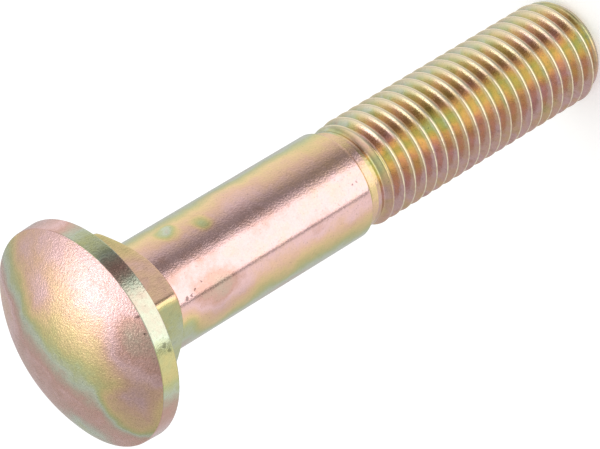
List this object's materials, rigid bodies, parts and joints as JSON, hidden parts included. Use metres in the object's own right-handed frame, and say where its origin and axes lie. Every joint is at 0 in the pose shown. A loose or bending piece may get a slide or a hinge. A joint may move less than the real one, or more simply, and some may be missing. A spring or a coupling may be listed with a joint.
{
  "type": "carriage bolt wheel stud",
  "caption": "Round-head square-neck bolt, part threaded: the neck locks in a square hole and the thread takes a nut.",
  "frame": {"origin": "centre of the flat end face of the threaded end, on which the bolt stands", "axes": "+Z along the bolt's axis towards the crown of the head; +X and +Y normal to flats of the square neck"},
  "size_m": [0.0382, 0.0382, 0.1176],
  "materials": {
    "yellow_zinc": "zinc plated steel, iridescent yellow passivated, satin head and smooth shank"
  },
  "bodies": {
    "root": {"bolt": "yellow_zinc"}
  },
  "joints": []
}
